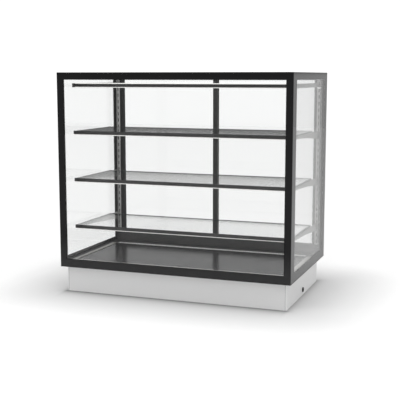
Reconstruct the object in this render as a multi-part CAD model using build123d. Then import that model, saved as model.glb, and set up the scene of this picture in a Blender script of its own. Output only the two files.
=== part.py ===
from build123d import *
import math
import os

# Drop-in heated display case: a frameless glass case with three lit shelves over a warm
# deck, two sliding doors at the rear, and a steel tank below that drops into a counter.
# Millimetres, +Z up, front at -Y, origin at the centre of the tank's underside.

# Whole object
case_w = 1200.0              # across the outsides of the side glasses
case_d = 722.0               # front glass to the rear edges of the side glasses
case_h = 977.0               # glass case above the counter
tank_h = 128.0               # tank below the counter

# Fits
seat = 0.3                   # bond line or seat between two separate pieces
slip = 0.2                   # hooks in slots and keys in windows

# Glass
glass_t = 6.0
glass_edge = 0.8             # ground chamfer round each pane
door_glass_t = 5.0
groove_deep = 8.0            # door glass goes this far into its frame

# Tank
tank_inset_x = 24.0
tank_inset_front = 26.0
tank_inset_rear = 53.0
tank_sheet = 1.5
tank_corner_r, tank_corner_cut = 8.0, 4.0     # outside arc, and straight cut inside and on the pan
tank_flange = 14.0           # turned inwards under the base frame
tank_foot = 12.0             # turned inwards under the base pan
pan_edge = 8.0               # upturned edge of the base pan
pan_slot_l, pan_slot_w, pan_slot_pitch, pan_slots = 60.0, 6.0, 16.0, 8
cable_y, cable_z = -14.0, 26.0
cable_hole = 17.0            # square hole in the tank, under the grommet's round rim
cable_bore_r = 7.0
grommet_rim_r = 12.5
grommet_rim_t = 3.0

# Base frame
lip_t = 3.0                  # plate that rests on the counter and carries the glass
frame_sheet = 2.5
deck_rise = 26.0             # deck level above the counter
rim_x = 34.0                 # top flange width at the sides, behind the glass
rim_front = 61.0             # top flange width at the front
wire_in, wire_l, wire_w = 7.0, 50.0, 8.0     # wire slot: from the tank's rear face, length, width
plate_rear = 77.0            # width of the lip plate along the rear
seal_w, seal_t, seal_inset = 10.0, 2.0, 8.0

# Deck
trim_w = 25.0                # bright frame along the deck's front and sides
trim_t = 1.5
trim_lap = 15.0              # trim lies this far over the base frame's flange
trim_bevel, trim_rise = 10.0, 1.0
trim_drop = 7.0
ledge_w = 11.5
deck_gap = 6.0               # dark groove between trim and deck plate
deck_t = 5.0
mat_t = 1.6
mat_margin = 14.0
grille_w = 103.7
grille_t = 2.0
grille_edge = 8.0
grille_slot_w, grille_slot_l, grille_pitch = 5.0, 6.0, 12.0
grille_slot_y = 11.0         # slots' middle to the grille's front edge

# Top and front corners
top_leg_z, top_leg_x, top_wall = 28.0, 18.0, 2.5
post_leg = 18.0

# Rear sill, header, jambs and track
sill_d = 73.0                # kick wall's front face to the rear of the case
kick_h = 73.0                # kick wall above the counter
sill_floor_h = 47.0          # door floor above the counter
sill_sheet = 2.0
sill_hem = 6.0               # fold down along the sill's rear edge
kick_return = 8.0
header_d = 62.0
header_h = 30.7
channel_w = 11.0
channel_roof = 4.7
channel_first = 3.4          # header front wall before the first channel
channel_rib = 1.5
jamb_front, jamb_rear, jamb_wall = 30.0, 18.0, 2.0
jamb_reach = 37.0            # jamb's wing along the side glass, ahead of the header
jamb_lip = 6.7
track_floor_t = 2.0
track_fin_t = 1.2
track_fin_h = 6.0

# Doors
door_t = 10.0
door_stile = 25.4            # stile where the doors meet
door_grip = 36.0             # wider outer stile that holds the finger pull
door_foot_clear = 2.0        # door above the track's floor
door_shoe_h = 18.0
door_top_h = 14.0
door_side_gap = 10.6         # door to jamb web when shut
bumper_w, bumper_h, bumper_edge = 8.0, 24.0, 1.0
bumper_rises = (110.0, 840.0)
stile_wall = 1.6
roller_r = 5.0
roller_w = 6.0
roller_inset = 60.0
roller_room = 0.7
axle_r = 1.3
axle_clear = 0.05
roller_side = 0.4            # wheel to the side walls of its pocket
pull_w, pull_h, pull_deep, pull_edge = 18.0, 120.0, 5.0, 6.0
pull_z = 500.0               # finger pull's middle above the counter

# Pilasters, shelves and lights
pilaster_w = 23.0
pilaster_d = 14.0
pilaster_wall = 1.5
pilaster_gap = 7.5           # pilaster to the side glass
slot_w = 5.0
slot_h = 18.0
slot_pitch = 34.6
slot_first = 8.5             # first slot's foot above the kick wall
slot_top_room = 8.0
shelf_steps = (3, 10, 17)    # slot that each shelf's upper hook sits in
shelf_names = ("lower", "middle", "upper")
bracket_t = 3.0
bracket_flange = 18.0
bracket_flange_t = 2.0
hook_neck = 7.0
hook_drop = 6.0
hook_back = 1.5              # behind the pilaster's wall
hook_t = 2.5
bracket_tip = 12.5           # bracket depth at the front
bracket_toe = 2.5            # bracket below its lower hook's foot
bracket_curve = ((0.35, 0.17), (0.7, 0.55))  # shares of length and of depth on the lower edge
shelf_front = 114.0          # rail face to the front glass's outer face
shelf_d = 400.0
shelf_side = 28.0            # shelf end to the side glass's outer face
rail_h = 17.3
rail_d = 26.0
rail_wall = 2.5
rail_lip = 1.0               # rail stands this far above the shelf glass
diffuser_show = 4.0          # diffuser below the rail
lamp_h = 15.0
lamp_d = 20.0
lamp_tube = 23.0
lamp_tube_flat = 0.35        # share of the tube's width from its middle to its flat front
arm_h = 21.0
arm_below = 9.5              # arm's lower edge under the top slot's foot

# Warm air unit in the tank
duct_d = 60.0
duct_wall = 1.5
fan_size = 120.0
fan_d = 38.0
fan_bore_r = 56.0
fan_mouth_r = 54.0           # eight-sided mouth in the duct, to its corners
fan_rise = 12.0              # fan frame above the base pan
fan_boss_r, fan_boss_t = 24.0, 9.0
fan_strut_w, fan_strut_root = 6.0, 1.0
fan_corner = 4.0
rotor_r = 53.5
rotor_hub_r = 25.0
rotor_depth = 24.0
rotor_blades = 5
blade_chord, blade_t = 30.0, 2.0
blade_root = 2.0             # blade let into the hub
blade_pitches = (50.0, 30.0) # at the hub and at the tip
blade_room = 1.0             # blade to each end of the hub
shaft_r, shaft_l = 3.0, 7.0
shaft_clear = 0.06
heater_r = 4.0
heater_rise, heater_step = 88.0, 24.0     # lower element above the base pan, and up to the next
heater_end = 24.0            # element's end past the duct

# Controls on the rear
panel_recess = 9.0           # panel face in from the rear edge
panel_sheet = 2.0
panel_fold = 10.0
control_in = 174.0           # controller's middle to the panel's left end
control_w, control_h, control_face = 77.0, 35.0, 3.0
control_body_w, control_body_h, control_body_d = 70.4, 28.4, 55.0
control_wall = 2.0
control_corner, control_edge = 1.5, 0.8
key_w, key_h, key_proud, key_edge = 9.0, 5.0, 1.2, 0.4
key_flange, key_flange_t = 1.0, 1.0
key_room = 4.0
key_pitch = 8.5
key_x = 26.0                 # keys' column from the controller's middle
display_w, display_h, display_deep = 36.0, 18.0, 1.0
display_x = -8.0             # display's middle from the controller's middle
switch_room, switch_pitch = 24.0, 40.0       # from the controller to the first switch, and on to the next
switch_w, switch_h, switch_rim, switch_edge = 25.0, 31.0, 2.0, 0.6
switch_body_w, switch_body_h, switch_body_d = 21.4, 27.4, 24.0
switch_wall, switch_floor = 1.4, 8.0
rocker_half, rocker_face, rocker_under = 11.6, 5.0, 1.5
rocker_dish = 2.0
rocker_belly = 6.0
rocker_pivot = 2.0           # pivot below the panel face
rocker_tilt = 10.0
vent_in, vent_l, vent_h = 64.0, 46.0, 4.0    # vents: from the panel's right end, length, height
vent_rows, vent_cols, vent_pitch_x, vent_pitch_z = 3, 5, 56.0, 9.0
screw_r, screw_head_r, screw_head_t, screw_l = 2.0, 4.5, 2.2, 8.0
screw_slot = 1.0             # panel's screw slots: play along the panel, each side of the screw
screw_room = 1.0             # square hole for the clip nut, each side of the screw
panel_screw_x = 190.0        # inner screws, each side of the middle
panel_tab_w = 26.0
driver_size = (190.0, 58.0, 34.0)
driver_rear = 45.0           # driver to the fan in front of the duct
driver_foot_l, driver_foot_t = 14.0, 3.0
terminal_size = (130.0, 90.0, 52.0)
terminal_in = 66.0           # terminal box to the tank's right side
terminal_lid_t, terminal_lid_over = 10.0, 2.0

# Derived planes
counter_z = tank_h
top_z = tank_h + case_h
side_x = case_w / 2
front_y = -case_d / 2
rear_y = case_d / 2
in_x = side_x - glass_t
in_y = front_y + glass_t
glass_z0 = counter_z + lip_t
glass_z1 = top_z - glass_t
bond_x = in_x - seat
bond_y = in_y + seat
tank_x = side_x - tank_inset_x
tank_y0 = front_y + tank_inset_front
tank_y1 = rear_y - tank_inset_rear
pan_z = 2 * tank_sheet
deck_z = counter_z + deck_rise
wire_y = tank_y1 - wire_in
rim_in_x = in_x - rim_x
rim_in_y = in_y + rim_front
kick_y = rear_y - sill_d
kick_top = counter_z + kick_h
floor_z = counter_z + sill_floor_h
header_y = rear_y - header_d
header_z1 = glass_z1 - seat
header_z0 = header_z1 - header_h
plate_in_y = rear_y - plate_rear
trim_x = rim_in_x + trim_lap
trim_y0 = rim_in_y - trim_lap
grille_y0 = kick_y - seat - grille_w
trim_y1 = grille_y0 - seat
pilaster_x1 = in_x - pilaster_gap
pilaster_x0 = pilaster_x1 - pilaster_w
slot_x = (pilaster_x0 + pilaster_x1) / 2
pilaster_y = header_y - pilaster_d
slot_z0 = kick_top + slot_first
slot_room = header_z0 - slot_top_room - slot_h - slot_z0
slot_count = int(slot_room // slot_pitch) + 1
rail_y = front_y + shelf_front
shelf_x = side_x - shelf_side
bracket_top = hook_neck + slip          # bracket's top edge over its slot's foot
shelf_zs = [slot_z0 + n * slot_pitch + bracket_top + glass_t + rail_lip for n in shelf_steps]
top_slot_z = slot_z0 + (slot_count - 1) * slot_pitch
arm_z0 = top_slot_z - arm_below
lamp_z0 = arm_z0 + (arm_h - lamp_h) / 2
channel_ys = [header_y + channel_first, header_y + channel_first + channel_w + channel_rib]
door_ys = [y + (channel_w - door_t) / 2 for y in channel_ys]
track_z = floor_z + track_floor_t
door_z0 = track_z + door_foot_clear
door_z1 = header_z0 + door_top_h
door_out_x = bond_x - jamb_wall - door_side_gap
door_in_x = door_stile / 2
lamp_x = slot_x - bracket_t / 2 - seat
roller_z = track_z + roller_r + seat
duct_half = trim_x - trim_w - ledge_w + trim_t
fan_x = duct_half / 2
duct_y0 = grille_y0 + grille_t + seat
duct_y1 = duct_y0 + duct_d
duct_z0 = pan_z + seat
heater_zs = [pan_z + heater_rise, pan_z + heater_rise + heater_step]
fan_y1 = duct_y0 - seat
fan_y0 = fan_y1 - fan_d
fan_z = pan_z + fan_rise + fan_size / 2
panel_y = rear_y - panel_recess
panel_z0 = glass_z0 + seat
panel_z1 = floor_z - sill_sheet - seat
panel_mid = (panel_z0 + panel_z1) / 2
control_x = control_in - bond_x
wire_x = control_x
switch_x0 = control_x + control_w / 2 + switch_room + switch_w / 2
switch_xs = [switch_x0, switch_x0 + switch_pitch]
panel_screw_out = bond_x - sill_sheet - panel_tab_w / 2
panel_screw_xs = [-panel_screw_out, -panel_screw_x, panel_screw_x, panel_screw_out]

pieces = {}


def slab(x0, x1, y0, y1, z0, z1):
    """A rectangular block between two corners."""
    face = Plane.XY.offset(z0) * Pos((x0 + x1) / 2, (y0 + y1) / 2) * Rectangle(x1 - x0, y1 - y0)
    return extrude(face, z1 - z0)


def along_x(points, x0, x1):
    """A profile drawn in Y and Z, run along X."""
    wire = Polyline(*[(x0, y, z) for y, z in points], close=True)
    return extrude(make_face(wire), x1 - x0, dir=(1, 0, 0))


def along_z(points, z0, z1):
    """A profile drawn in X and Y, run along Z."""
    wire = Polyline(*[(x, y, z0) for x, y in points], close=True)
    return extrude(make_face(wire), z1 - z0, dir=(0, 0, 1))


def other_side(part):
    """The same piece for the left side."""
    return mirror(part, about=Plane.YZ)


def rod_y(x, z, radius, y0, y1):
    """A round bar along Y."""
    return Plane((x, y0, z), x_dir=(1, 0, 0), z_dir=(0, 1, 0)) * extrude(Circle(radius), y1 - y0)


def rod_x(y, z, radius, x0, x1):
    """A round bar along X."""
    return Plane((x0, y, z), x_dir=(0, 1, 0), z_dir=(1, 0, 0)) * extrude(Circle(radius), x1 - x0)


def ring(x, y0, y1, inset, z0, z1, front=None):
    """A rectangular ring: outer half width x, from y0 to y1, inset by a border."""
    near = inset if front is None else front
    outer = slab(-x, x, y0, y1, z0, z1)
    return outer - slab(inset - x, x - inset, y0 + near, y1 - inset, z0, z1)


def pane(x0, x1, y0, y1, z0, z1):
    """A glass pane with ground edges."""
    blank = slab(x0, x1, y0, y1, z0, z1)
    return chamfer(blank.edges(), glass_edge)


def group(*parts):
    """Separate solids that share one node."""
    return Compound(children=[solid for part in parts for solid in part.solids()])


def wire_slot():
    """The slot that lets the wires through from the control box to the tank."""
    return slab(wire_x - wire_l / 2, wire_x + wire_l / 2, wire_y - wire_w / 2, wire_y + wire_w / 2,
                counter_z - 2 * tank_sheet, glass_z0)


# Tank that drops through the counter
def tank_casing():
    size_y = tank_y1 - tank_y0
    mid = Pos(0, (tank_y0 + tank_y1) / 2)

    outer = mid * RectangleRounded(2 * tank_x, size_y, tank_corner_r)

    def inner(inset):
        blank = Rectangle(2 * (tank_x - inset), size_y - 2 * inset)
        return mid * chamfer(blank.vertices(), tank_corner_cut)

    wall = extrude(outer - inner(tank_sheet), tank_h)
    foot = extrude(outer - inner(tank_foot), tank_sheet)
    flange = Pos(0, 0, tank_h - tank_sheet) * extrude(outer - inner(tank_flange), tank_sheet)
    half = cable_hole / 2
    hole = slab(tank_x - 2 * tank_sheet, tank_x + tank_sheet, cable_y - half, cable_y + half,
                cable_z - half, cable_z + half)
    return wall + foot + flange - hole - wire_slot()


def tank_base_pan():
    gap = tank_sheet + seat
    x, y0, y1 = tank_x - gap, tank_y0 + gap, tank_y1 - gap
    pan = slab(-x, x, y0, y1, tank_sheet, tank_sheet + pan_edge)
    pan = chamfer(pan.edges().filter_by(Axis.Z), tank_corner_cut)
    hollow = slab(tank_sheet - x, x - tank_sheet, y0 + tank_sheet, y1 - tank_sheet,
                  pan_z, tank_sheet + pan_edge)
    pan -= hollow
    first = (pan_slots - 1) * pan_slot_pitch / 2
    cuts = []
    for centre in (-fan_x, fan_x):
        for n in range(pan_slots):
            x = centre - first + n * pan_slot_pitch
            slot = slab(x - pan_slot_w / 2, x + pan_slot_w / 2, -pan_slot_l / 2, pan_slot_l / 2, 0, pan_z)
            cuts.append(slot)
    return pan - cuts


# Round rim outside and a square plug through the sheet, with a bore for the cable
def cable_grommet():
    inner = tank_x - tank_sheet
    half = cable_hole / 2 - slip
    body = slab(inner - grommet_rim_t, tank_x, cable_y - half, cable_y + half,
                cable_z - half, cable_z + half)
    body += rod_x(cable_y, cable_z, grommet_rim_r, tank_x, tank_x + grommet_rim_t)
    bore = rod_x(cable_y, cable_z, cable_bore_r, inner - 2 * grommet_rim_t, tank_x + 2 * grommet_rim_t)
    return body - bore


pieces["tank_casing"] = tank_casing()
pieces["tank_base_pan"] = tank_base_pan()
pieces["cable_grommet"] = cable_grommet()


# Base frame: lip plate, folded web and top flange round the deck
def base_frame():
    plate = slab(-side_x, side_x, front_y, rear_y, counter_z, glass_z0)
    plate -= slab(-rim_in_x, rim_in_x, rim_in_y, plate_in_y, counter_z, glass_z0)
    back = kick_y - seat
    web = slab(-bond_x, bond_x, bond_y, back, glass_z0, deck_z)
    web -= slab(frame_sheet - bond_x, bond_x - frame_sheet, bond_y + frame_sheet, back, glass_z0, deck_z)
    flange = slab(-bond_x, bond_x, bond_y, back, deck_z - frame_sheet, deck_z)
    flange -= slab(-rim_in_x, rim_in_x, rim_in_y, back, deck_z - frame_sheet, deck_z)
    return plate + web + flange - wire_slot()


pieces["base_frame"] = base_frame()
pieces["counter_seal"] = ring(side_x - seal_inset, front_y + seal_inset, rear_y - seal_inset, seal_w,
                              counter_z - seal_t, counter_z)

# Glass case
pieces["front_glass"] = pane(-side_x, side_x, front_y, in_y, glass_z0, glass_z1)
pieces["side_glass_right"] = pane(in_x, side_x, bond_y, rear_y, glass_z0, glass_z1)
pieces["side_glass_left"] = other_side(pieces["side_glass_right"])
pieces["top_glass"] = pane(-side_x, side_x, front_y, rear_y, glass_z1, top_z)


# Angle frame under the top glass, along the front and both sides
def top_frame():
    back = header_y - seat
    z0 = header_z1 - top_leg_z
    legs = slab(-bond_x, bond_x, bond_y, back, z0, header_z1)
    legs -= slab(top_wall - bond_x, bond_x - top_wall, bond_y + top_wall, back, z0, header_z1 - top_wall)
    reach = top_leg_x
    hole = slab(reach - bond_x, bond_x - reach, bond_y + reach, back, z0, header_z1)
    return legs - hole


# Angle behind each front corner
def corner_post():
    x, y = bond_x, bond_y
    outline = [(x, y), (x, y + post_leg), (x - top_wall, y + post_leg), (x - top_wall, y + top_wall),
               (x - post_leg, y + top_wall), (x - post_leg, y)]
    return along_z(outline, deck_z, header_z1 - top_leg_z - seat)


pieces["top_frame"] = top_frame()
pieces["corner_posts"] = group(corner_post(), other_side(corner_post()))


# Rear sill: kick wall, door floor and ends, folded from one sheet
def rear_sill():
    t = sill_sheet
    outline = [(kick_y, glass_z0), (kick_y, kick_top), (kick_y + kick_return, kick_top),
               (kick_y + kick_return, kick_top - t), (kick_y + t, kick_top - t), (kick_y + t, floor_z),
               (rear_y, floor_z), (rear_y, floor_z - sill_hem), (rear_y - t, floor_z - sill_hem),
               (rear_y - t, floor_z - t), (kick_y + t, floor_z - t), (kick_y + t, glass_z0)]
    sheet = along_x(outline, -bond_x, bond_x)
    tab_y1 = panel_y - panel_sheet - seat
    low, high = panel_z0 + panel_sheet + seat, panel_z1 - panel_sheet - seat
    hole = screw_r + screw_room
    left_rib = (bond_x - t, panel_screw_xs[3])
    right_rib = (panel_screw_xs[2] + panel_tab_w / 2, panel_screw_xs[2])
    for x, screw_x in (left_rib, right_rib):
        rib = slab(x, x + t, kick_y + t, panel_y - panel_fold - seat, glass_z0, floor_z - t)
        rib += slab(x, x + t, kick_y + t, tab_y1, low, high)
        tab = slab(screw_x - panel_tab_w / 2, x + t, tab_y1 - t, tab_y1, low, high)
        tab -= slab(screw_x - hole, screw_x + hole, tab_y1 - t, tab_y1, panel_mid - hole, panel_mid + hole)
        sheet += rib + tab + other_side(rib + tab)
    return sheet


# Header with two door channels and a wiring channel, open downwards
def door_header():
    roof = header_z1 - channel_roof
    starts = channel_ys + [channel_ys[1] + channel_w + channel_rib]
    ends = [channel_ys[0] + channel_w, channel_ys[1] + channel_w, rear_y - channel_rib]
    bar = slab(-bond_x, bond_x, header_y, rear_y, header_z0, header_z1)
    return bar - [slab(-bond_x, bond_x, a, b, header_z0, roof) for a, b in zip(starts, ends)]


# Door jamb: a U of sheet that the door's stile runs into, with a wing along the side glass
def jamb():
    x, w = bond_x, jamb_wall
    outline = [(x, header_y), (x - jamb_front, header_y), (x - jamb_front, header_y + w),
               (x - w, header_y + w), (x - w, rear_y - w), (x - jamb_rear, rear_y - w),
               (x - jamb_rear, rear_y), (x, rear_y)]
    channel = along_z(outline, floor_z, header_z0)
    y0 = header_y - jamb_reach
    wing = slab(x - w, x, y0, header_y, kick_top, header_z0)
    wing += slab(x - w, x, y0, kick_y - seat, deck_z, header_z0)
    wing += slab(x - jamb_lip, x, y0, y0 + w, deck_z, header_z0)
    return channel + wing


# Lower door track with three fins
def door_track():
    half = bond_x - jamb_wall - seat
    y0 = channel_ys[0] - track_fin_t
    y1 = channel_ys[1] + channel_w + track_fin_t
    bed = slab(-half, half, y0, y1, floor_z, track_z)
    mid = (channel_ys[0] + channel_w + channel_ys[1]) / 2
    for y in (y0, mid - track_fin_t / 2, y1 - track_fin_t):
        bed += slab(-half, half, y, y + track_fin_t, track_z, track_z + track_fin_h)
    return bed


pieces["rear_sill"] = rear_sill()
pieces["door_header"] = door_header()
pieces["jamb_right"] = jamb()
pieces["jamb_left"] = other_side(pieces["jamb_right"])
pieces["door_track"] = door_track()


# Pilaster: a C of sheet with a column of slots for the shelf brackets
def pilaster():
    w = pilaster_wall
    shell = slab(pilaster_x0, pilaster_x1, pilaster_y, header_y, kick_top, header_z0)
    shell -= slab(pilaster_x0 + w, pilaster_x1 - w, pilaster_y + w, header_y, kick_top, header_z0)
    slots = []
    for n in range(slot_count):
        z = slot_z0 + n * slot_pitch
        slots.append(slab(slot_x - slot_w / 2, slot_x + slot_w / 2, pilaster_y, pilaster_y + w,
                          z, z + slot_h))
    return shell - slots


pieces["pilaster_right"] = pilaster()
pieces["pilaster_left"] = other_side(pieces["pilaster_right"])


# Hook of a bracket: neck through the slot, tongue down behind the wall
def hook(foot_z):
    y = pilaster_y - slip
    back = pilaster_y + pilaster_wall + hook_back
    outline = [(y, foot_z + slip), (back, foot_z + slip), (back, foot_z - hook_drop),
               (back + hook_t, foot_z - hook_drop), (back + hook_t, foot_z + slip + hook_neck),
               (y, foot_z + slip + hook_neck)]
    return along_x(outline, slot_x - bracket_t / 2, slot_x + bracket_t / 2)


# Shelf bracket: blade with a curved lower edge, flange under the glass, two hooks
def shelf_bracket(shelf_z):
    top = shelf_z - rail_lip - glass_t - seat
    heel_y = pilaster_y - slip
    tip_y = rail_y + rail_d + seat
    heel = slot_pitch + hook_neck + bracket_toe
    x0 = slot_x - bracket_t / 2

    def low_point(along, drop):
        return (x0, tip_y + along * (heel_y - tip_y), top - bracket_tip - drop * (heel - bracket_tip))

    lower = Spline(low_point(0, 0), *[low_point(*share) for share in bracket_curve], low_point(1, 1))
    edges = [lower, Line(lower @ 1, (x0, heel_y, top)), Line((x0, heel_y, top), (x0, tip_y, top)),
             Line((x0, tip_y, top), lower @ 0)]
    blade = extrude(make_face(edges), bracket_t, dir=(1, 0, 0))
    flange_y1 = rail_y + shelf_d
    flange = slab(x0 - bracket_flange, x0, tip_y, flange_y1, top - bracket_flange_t, top)
    foot = shelf_z - rail_lip - glass_t - bracket_top
    return blade + flange + hook(foot) + hook(foot - slot_pitch)


# Front rail of a shelf: face, glass rebate and downward light trough
def shelf_rail(shelf_z):
    y, t = rail_y, rail_wall
    under = shelf_z - rail_lip - glass_t - seat
    outline = [(y, shelf_z - rail_h), (y, shelf_z), (y + t, shelf_z), (y + t, under),
               (y + rail_d, under), (y + rail_d, shelf_z - rail_h), (y + rail_d - t, shelf_z - rail_h),
               (y + rail_d - t, under - t), (y + t, under - t), (y + t, shelf_z - rail_h)]
    return along_x(outline, -shelf_x, shelf_x)


# Milky strip that closes a rail's trough and stands below it
def shelf_diffuser(shelf_z):
    y0, y1 = rail_y + rail_wall + seat, rail_y + rail_d - rail_wall - seat
    top = shelf_z - rail_lip - glass_t - rail_wall - 2 * seat
    foot = shelf_z - rail_h - diffuser_show
    strip = slab(-shelf_x, shelf_x, y0, y1, foot, top)
    return chamfer(strip.edges().filter_by(Axis.X).group_by(Axis.Z)[0], diffuser_show / 2)


def shelf_glass(shelf_z):
    top = shelf_z - rail_lip
    return pane(-shelf_x, shelf_x, rail_y + rail_wall + seat, rail_y + shelf_d, top - glass_t, top)


diffusers = []
for name, z in zip(shelf_names, shelf_zs):
    bracket = shelf_bracket(z)
    pieces["shelf_brackets_" + name] = group(bracket, other_side(bracket))
    pieces["shelf_rail_" + name] = shelf_rail(z)
    pieces["shelf_glass_" + name] = shelf_glass(z)
    diffusers.append(shelf_diffuser(z))


# Lamp bar under the top: front cover, milky tube behind it, and an arm at each end
def lamp_cover():
    y, t, z = rail_y, rail_wall, lamp_z0
    outline = [(y, z), (y, z + lamp_h), (y + lamp_d, z + lamp_h), (y + lamp_d, z + lamp_h - t),
               (y + t, z + lamp_h - t), (y + t, z + t), (y + lamp_d, z + t), (y + lamp_d, z)]
    return along_x(outline, -lamp_x, lamp_x)


def lamp_tube_body():
    back = rail_y + lamp_d + seat
    z = arm_z0 + arm_h / 2
    centre = back + lamp_tube * lamp_tube_flat
    tube = rod_x(centre, z, lamp_tube / 2, -lamp_x, lamp_x)
    return tube & slab(-lamp_x, lamp_x, back, back + lamp_tube, z - lamp_tube, z + lamp_tube)


def lamp_arm():
    x0 = slot_x - bracket_t / 2
    blade = slab(x0, x0 + bracket_t, rail_y, pilaster_y - slip, arm_z0, arm_z0 + arm_h)
    tab_z = lamp_z0 + lamp_h - rail_wall - seat
    tab = slab(x0 - bracket_flange, x0, rail_y + rail_wall + seat, rail_y + lamp_d,
               tab_z - bracket_flange_t, tab_z)
    return blade + tab + hook(top_slot_z)


pieces["lamp_cover"] = lamp_cover()
pieces["lamp_arm_right"] = lamp_arm()
pieces["lamp_arm_left"] = other_side(pieces["lamp_arm_right"])
pieces["light_diffusers"] = group(*diffusers, lamp_tube_body())


# Bright bevelled frame on the base frame's flange; its ledge carries the deck plate
def deck_trim():
    beyond = trim_y1 + 2 * trim_w
    mid = (trim_y0 + beyond) / 2
    crown = deck_z + trim_t
    bevel_z = crown - trim_rise
    outer = Rectangle(2 * trim_x, beyond - trim_y0)
    inner = Rectangle(2 * (trim_x - trim_bevel), beyond - trim_y0 - 2 * trim_bevel)
    top = Pos(0, mid, deck_z) * extrude(outer, bevel_z - deck_z)
    top += loft([Pos(0, mid, bevel_z) * outer, Pos(0, mid, crown) * inner])
    top -= slab(trim_w - trim_x, trim_x - trim_w, trim_y0 + trim_w, beyond, deck_z, crown)
    step = trim_w - trim_t
    leg = ring(trim_x - step, trim_y0 + step, beyond + trim_w, trim_t, deck_z - trim_drop, deck_z)
    ledge = ring(trim_x - step, trim_y0 + step, beyond + trim_w, ledge_w,
                 deck_z - trim_drop, deck_z - trim_drop + trim_t)
    keep = slab(-trim_x, trim_x, trim_y0, trim_y1, deck_z - trim_drop, crown)
    return (top + leg + ledge) & keep


deck_x = trim_x - trim_w - deck_gap
deck_y0, deck_y1 = trim_y0 + trim_w + deck_gap, grille_y0 - deck_gap
deck_foot = deck_z - trim_drop + trim_t


def deck_plate():
    return pane(-deck_x, deck_x, deck_y0, deck_y1, deck_foot, deck_foot + deck_t)


def heater_mats():
    x, gap = deck_x - mat_margin, mat_margin
    right = slab(gap / 2, x, deck_y0 + gap, deck_y1 - gap, deck_foot - mat_t, deck_foot)
    return group(right, other_side(right))


# Cover between the deck and the kick wall, with a row of air slots and a ledge for the deck
def air_grille():
    x = rim_in_x - seat
    y0, y1, t = grille_y0, kick_y - seat, grille_t
    outline = [(y0, deck_z), (y1, deck_z), (y1, deck_z - grille_edge), (y1 - t, deck_z - grille_edge),
               (y1 - t, deck_z - t), (y0, deck_z - t)]
    skin = along_x(outline, -x, x)
    under = deck_foot - trim_t
    fold_x = trim_x - trim_w - ledge_w + trim_t - seat
    fold = [(y0, deck_z - t), (y0 + t, deck_z - t), (y0 + t, under), (y0 - ledge_w, under),
            (y0 - ledge_w, deck_foot), (y0, deck_foot)]
    skin += along_x(fold, -fold_x, fold_x)
    mid = y0 + grille_slot_y
    count = int((2 * fold_x - grille_pitch) // grille_pitch)
    first = -(count - 1) * grille_pitch / 2
    half_w, half_l = grille_slot_w / 2, grille_slot_l / 2
    cuts = [slab(first + n * grille_pitch - half_w, first + n * grille_pitch + half_w,
                 mid - half_l, mid + half_l, deck_z - grille_t, deck_z) for n in range(count)]
    return skin - cuts


pieces["deck_trim"] = deck_trim()
pieces["deck_plate"] = deck_plate()
pieces["deck_heater_mats"] = heater_mats()
pieces["air_grille"] = air_grille()


# Warm air duct under the grille, with a mouth for each fan
def air_duct():
    w = duct_wall
    top = deck_z - grille_t - seat
    box = slab(-duct_half, duct_half, duct_y0, duct_y1, duct_z0, top)
    box -= slab(w - duct_half, duct_half - w, duct_y0 + w, duct_y1 - w, duct_z0 + w, top)
    for x in (-fan_x, fan_x):
        wall = Plane((x, duct_y0, fan_z), x_dir=(1, 0, 0), z_dir=(0, 1, 0))
        box -= wall * extrude(RegularPolygon(fan_mouth_r, 8), w)
    y, room = (duct_y0 + duct_y1) / 2, heater_r + seat
    box -= slab(-duct_half, duct_half, y - room, y + room, heater_zs[0] - room, heater_zs[1] + room)
    return box


# Straight tubular heating elements, one above the other, with their ends out through the duct
def heater_elements():
    y = (duct_y0 + duct_y1) / 2
    end_x = duct_half + heater_end
    return group(*[rod_x(y, z, heater_r, -end_x, end_x) for z in heater_zs])


# Fan frame: square shell, boss on four struts and the bearing for the shaft
def fan_frame(x):
    half = fan_size / 2
    body = slab(x - half, x + half, fan_y0, fan_y1, fan_z - half, fan_z + half)
    body = chamfer(body.edges().filter_by(Axis.Y), fan_corner)
    body -= rod_y(x, fan_z, fan_bore_r, fan_y0, fan_y1)
    spider = rod_y(x, fan_z, fan_boss_r, fan_y0, fan_y0 + fan_boss_t)
    reach = fan_bore_r + fan_strut_root
    bar = slab(-reach, reach, fan_y0, fan_y0 + fan_boss_t / 2, -fan_strut_w / 2, fan_strut_w / 2)
    for turn in (45, 135):
        spider += Pos(x, 0, fan_z) * Rot(0, turn, 0) * bar
    bearing = rod_y(x, fan_z, shaft_r + shaft_clear, fan_y0, fan_y0 + fan_boss_t)
    return body + spider - bearing


# A solid between two four-cornered ends, with each side split along one diagonal
def faceted_blade(root, tip):
    sides = []
    for n in range(4):
        after = (n + 1) % 4
        sides += [(root[n], root[after], tip[after]), (root[n], tip[after], tip[n])]
    faces = [make_face(Polyline(*corners, close=True)) for corners in sides + [tuple(root), tuple(tip)]]
    return Solid(Shell(faces))


# Fan rotor: hub with a stub shaft and twisted blades
def fan_rotor(x):
    y0 = fan_y0 + fan_boss_t + seat
    mid = y0 + rotor_depth / 2
    rotor = rod_y(x, fan_z, rotor_hub_r, y0, y0 + rotor_depth)
    rotor += rod_y(x, fan_z, shaft_r, y0 - shaft_l, y0)
    longest = rotor_depth - 2 * blade_room
    for n in range(rotor_blades):
        turn = math.radians(n * 360 / rotor_blades)
        out = Vector(math.cos(turn), 0, math.sin(turn))
        side = Vector(-math.sin(turn), 0, math.cos(turn))
        ends = []
        for radius, pitch in zip((rotor_hub_r - blade_root, rotor_r), blade_pitches):
            lean = math.radians(pitch)
            chord = side * math.cos(lean) + Vector(0, 1, 0) * math.sin(lean)
            thick = out.cross(chord) * (blade_t / 2)
            origin = Vector(x, mid, fan_z) + out * radius
            along = chord * (min(blade_chord, longest / math.sin(lean)) / 2)
            ends.append([origin - along - thick, origin + along - thick,
                         origin + along + thick, origin - along + thick])
        rotor += faceted_blade(*ends)
    return rotor


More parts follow.
